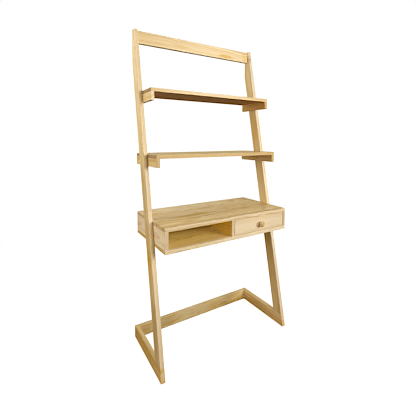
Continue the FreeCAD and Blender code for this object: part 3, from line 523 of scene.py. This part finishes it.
plated = metal_finish("plated_steel", PLATED, 0.30, 0.22, 0.00004)
cast = metal_finish("cast_zinc", CAST, 0.52, 0.30, 0.00010)
brass = metal_finish("brass_insert", BRASS, 0.34, 0.18, 0.00004)
yellow = metal_finish("yellow_plated_steel", YELLOW_PLATED, 0.45, 0.25, 0.00004)
METALS = {plated: ("screws", "screw", "bolts"), yellow: ("cleat_screws",), cast: ("rail_cams",),
          brass: ("threaded_inserts",)}
for material, endings in METALS.items():
    for piece in nodes:
        if piece.endswith(endings):
            dress(piece, material)
            print(piece, "in", material.name)

# %% Beech dowels
BEECH_PALE = colour(0.66, 0.46, 0.28)
BEECH_DARK = colour(0.50, 0.31, 0.16)


def beech_finish(name, along):
    """Plain beech rod: close brown flecks along the rod, and pressed flutes."""
    material, g, shader = new_finish("beech_" + name)
    point = g.node("ShaderNodeTexCoord").outputs["Object"]
    stretch = [0.08 if axis == along else 1.0 for axis in range(3)]
    stretched = g.vector("MULTIPLY", point, stretch)
    fleck = g.noise(stretched, 1400.0, 2.0, 0.6)
    cloud = g.noise(stretched, 140.0, 2.0)
    body = g.mix(g.span(g.math("ADD", fleck, g.centred(cloud, 0.4)), 0.4, 0.75), BEECH_PALE, BEECH_DARK)
    g.put(shader.inputs["Base Color"], body)
    g.put(shader.inputs["Roughness"], g.math("ADD", 0.62, g.centred(fleck, 0.2)))
    raise_grain(g, shader, fleck, 0.0001)
    dress(name, material)


for piece, along in {"post_foot_dowels": 2, "floor_rail_dowels": 0, "top_rail_dowels": 0,
                     "desk_top_dowels": 2, "drawer_dowels": 1}.items():
    beech_finish(piece, along)

# %% [markdown]
# The drawer's bottom is three-ply: pale rotary-cut faces with wide, lazy figure, and a darker middle
# layer that only shows as a line along the edges.

# %% Plywood drawer bottom
PLY_PALE = colour(0.74, 0.60, 0.35)
PLY_DARK = colour(0.60, 0.44, 0.21)
PLY_CORE = colour(0.40, 0.25, 0.12)


def plywood_finish(name):
    low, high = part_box(name)
    material, g, shader = new_finish("plywood")
    point = g.node("ShaderNodeTexCoord").outputs["Object"]
    x, y, z = g.split(point)
    bent = g.noise(g.vector("MULTIPLY", point, (1.0, 0.25, 1.0)), 14.0, 2.0)
    bands = g.math("SINE", g.math("ADD", g.math("MULTIPLY", x, 150.0), g.math("MULTIPLY", bent, 26.0)))
    fibre = g.noise(g.join(x, g.math("MULTIPLY", y, 0.03), z), 1100.0, 2.0, 0.6)
    face = g.mix(g.span(bands, -0.6, 1.0, 0.0, 0.65), PLY_PALE, PLY_DARK)
    tone = g.math("ADD", 1.0, g.centred(fibre, 0.18))
    face = g.vector("MULTIPLY", face, g.join(tone, tone, tone))
    layer = g.math("DIVIDE", g.math("SUBTRACT", z, low.z), high.z - low.z)
    off_middle = g.math("ABSOLUTE", g.math("SUBTRACT", layer, 0.5))
    face = g.mix(g.span(off_middle, 0.14, 0.19, 0.8, 0.0), face, PLY_CORE)
    g.put(shader.inputs["Base Color"], face)
    g.put(shader.inputs["Roughness"], g.math("ADD", 0.55, g.centred(fibre, 0.15)))
    raise_grain(g, shader, fibre, 0.0001)
    dress(name, material)


plywood_finish("drawer_bottom")

# %% Moulded clip
NYLON_PALE = colour(0.78, 0.76, 0.69)
NYLON_SHADE = colour(0.70, 0.67, 0.58)
material, g, shader = new_finish("moulded_nylon")
point = g.node("ShaderNodeTexCoord").outputs["Object"]
flow = g.noise(g.vector("MULTIPLY", point, (1.0, 1.0, 0.3)), 90.0, 2.0)
stipple = g.noise(point, 3200.0, 1.0)
g.put(shader.inputs["Base Color"], g.mix(flow, NYLON_PALE, NYLON_SHADE))
g.put(shader.inputs["Roughness"], g.math("ADD", 0.48, g.centred(stipple, 0.16)))
raise_grain(g, shader, stipple, 0.00005)
dress("drawer_stop_clip", material)
print("hardware finished")

# %% [markdown]
# ## Floor and light
# A plain pale floor runs out to a white background. A small lamp in front gives crisp edges, and a broad
# softbox at the right lights the fronts. Two weaker ones, above and at the left, reach the tops and the
# ends of the boards. A weak one behind lights the back; it is kept out of reflections, because its
# mirror image would wash out the desk top. The fill is warm from below, as light off a timber floor is.

# %% Floor
FLOOR_REACH = 14.0
FLOOR_TINT = colour(0.30, 0.31, 0.36)
FLOOR_BOUNCE = colour(0.15, 0.088, 0.055)
FLOOR_GLOW = 0.88
PLAIN_FROM, PLAIN_TO = 0.9, 2.6     # how far out the floor turns into the plain white background


def make_floor():
    mesh = bpy.data.meshes.new("floor")
    reach = FLOOR_REACH
    corners = [(-reach, -reach, 0), (reach, -reach, 0), (reach, reach, 0), (-reach, reach, 0)]
    mesh.from_pydata(corners, [], [(0, 1, 2, 3)])
    floor = bpy.data.objects.new("floor", mesh)
    bpy.context.scene.collection.objects.link(floor)
    material, g, shader = new_finish("floor")
    seen = g.node("ShaderNodeLightPath").outputs["Is Camera Ray"]
    place = g.node("ShaderNodeTexCoord").outputs["Object"]
    out = g.span(g.vector("LENGTH", place, out="Value"), PLAIN_FROM, PLAIN_TO)
    g.put(shader.inputs["Base Color"], g.mix(seen, FLOOR_BOUNCE, g.mix(out, FLOOR_TINT, colour(0, 0, 0))))
    glow = g.math("ADD", FLOOR_GLOW, g.math("MULTIPLY", out, 1.0 - FLOOR_GLOW))
    shader.inputs["Emission Color"].default_value = colour(1, 1, 1)
    g.put(shader.inputs["Emission Strength"], g.math("MULTIPLY", glow, seen))
    shader.inputs["Roughness"].default_value = 0.9
    shader.inputs["Specular IOR Level"].default_value = 0.0
    mesh.materials.append(material)


make_floor()

# %% Lamps and background
FILL = 0.94
FILL_LOW = colour(1.0, 0.83, 0.44)
FILL_HIGH = colour(0.03, 0.02, 0.01)
LAMPS = {
    "front_lamp": {"at": (-0.26, -1.7, 1.38), "aim": (0.0, 0.0, 0.95), "size": 0.12, "watts": 6.6},
    "right_softbox": {"at": (1.5, -2.6, 1.9), "aim": (0.0, 0.0, 0.95), "size": 1.3, "watts": 64.0},
    "top_softbox": {"at": (-1.6, 0.3, 2.5), "aim": (-0.4, 0.05, 1.5), "size": 0.6, "watts": 6.0},
    "left_softbox": {"at": (-2.4, 0.5, 1.3), "aim": (0.0, 0.0, 1.0), "size": 0.8, "watts": 19.0,
                     "tint": (1.0, 0.96, 0.92)},
    "back_softbox": {"at": (1.2, 2.8, 0.9), "aim": (0.0, 0.0, 0.9), "size": 1.4, "watts": 14.0, "mirrored": False},
}


def make_lamp(name, at, aim, size, watts, tint=(1.0, 1.0, 1.0), mirrored=True):
    light = bpy.data.lights.new(name, "AREA")
    light.shape = "SQUARE"
    light.size = size
    light.energy = watts
    light.color = tint
    lamp = bpy.data.objects.new(name, light)
    lamp.location = at
    lamp.rotation_euler = (Vector(aim) - Vector(at)).to_track_quat("-Z", "Y").to_euler()
    lamp.visible_glossy = mirrored
    bpy.context.scene.collection.objects.link(lamp)


for lamp, choices in LAMPS.items():
    make_lamp(lamp, **choices)

world = bpy.data.worlds.new("studio")
bpy.context.scene.world = world
world.use_nodes = True
g = Graph(world.node_tree)
fill = world.node_tree.nodes["Background"]
height = g.split(g.node("ShaderNodeTexCoord").outputs["Generated"])[2]
g.put(fill.inputs["Color"], g.mix(g.span(height, 0.1, 0.8), FILL_LOW, FILL_HIGH))
fill.inputs["Strength"].default_value = FILL
backdrop = g.node("ShaderNodeBackground", {"Color": colour(1, 1, 1), "Strength": 1.0})
chosen = g.node("ShaderNodeMixShader", {0: g.node("ShaderNodeLightPath").outputs["Is Camera Ray"],
                                        1: fill.outputs[0], 2: backdrop.outputs[0]})
g.put(world.node_tree.nodes["World Output"].inputs["Surface"], chosen.outputs[0])
bpy.context.scene.view_settings.view_transform = "Standard"
bpy.context.scene.view_settings.look = "None"
print("lamps", list(LAMPS))

# %% [markdown]
# A studio picture is sharpened a touch before it is used, which firms up the fine grain and the edges of
# the boards. The compositor's sharpening filter does the same, at a few hundredths of its full strength.

# %% Print sharpening
SHARPEN = 0.045
scene = bpy.context.scene
scene.use_nodes = True
scene.node_tree.nodes.clear()
print_room = Graph(scene.node_tree)
layers = print_room.node("CompositorNodeRLayers")
sharpened = {"Fac": SHARPEN, "Image": layers.outputs["Image"]}
crisp = print_room.node("CompositorNodeFilter", sharpened, filter_type="SHARPEN")
print_room.node("CompositorNodeComposite", {"Image": crisp.outputs["Image"]})
print("sharpening", SHARPEN)
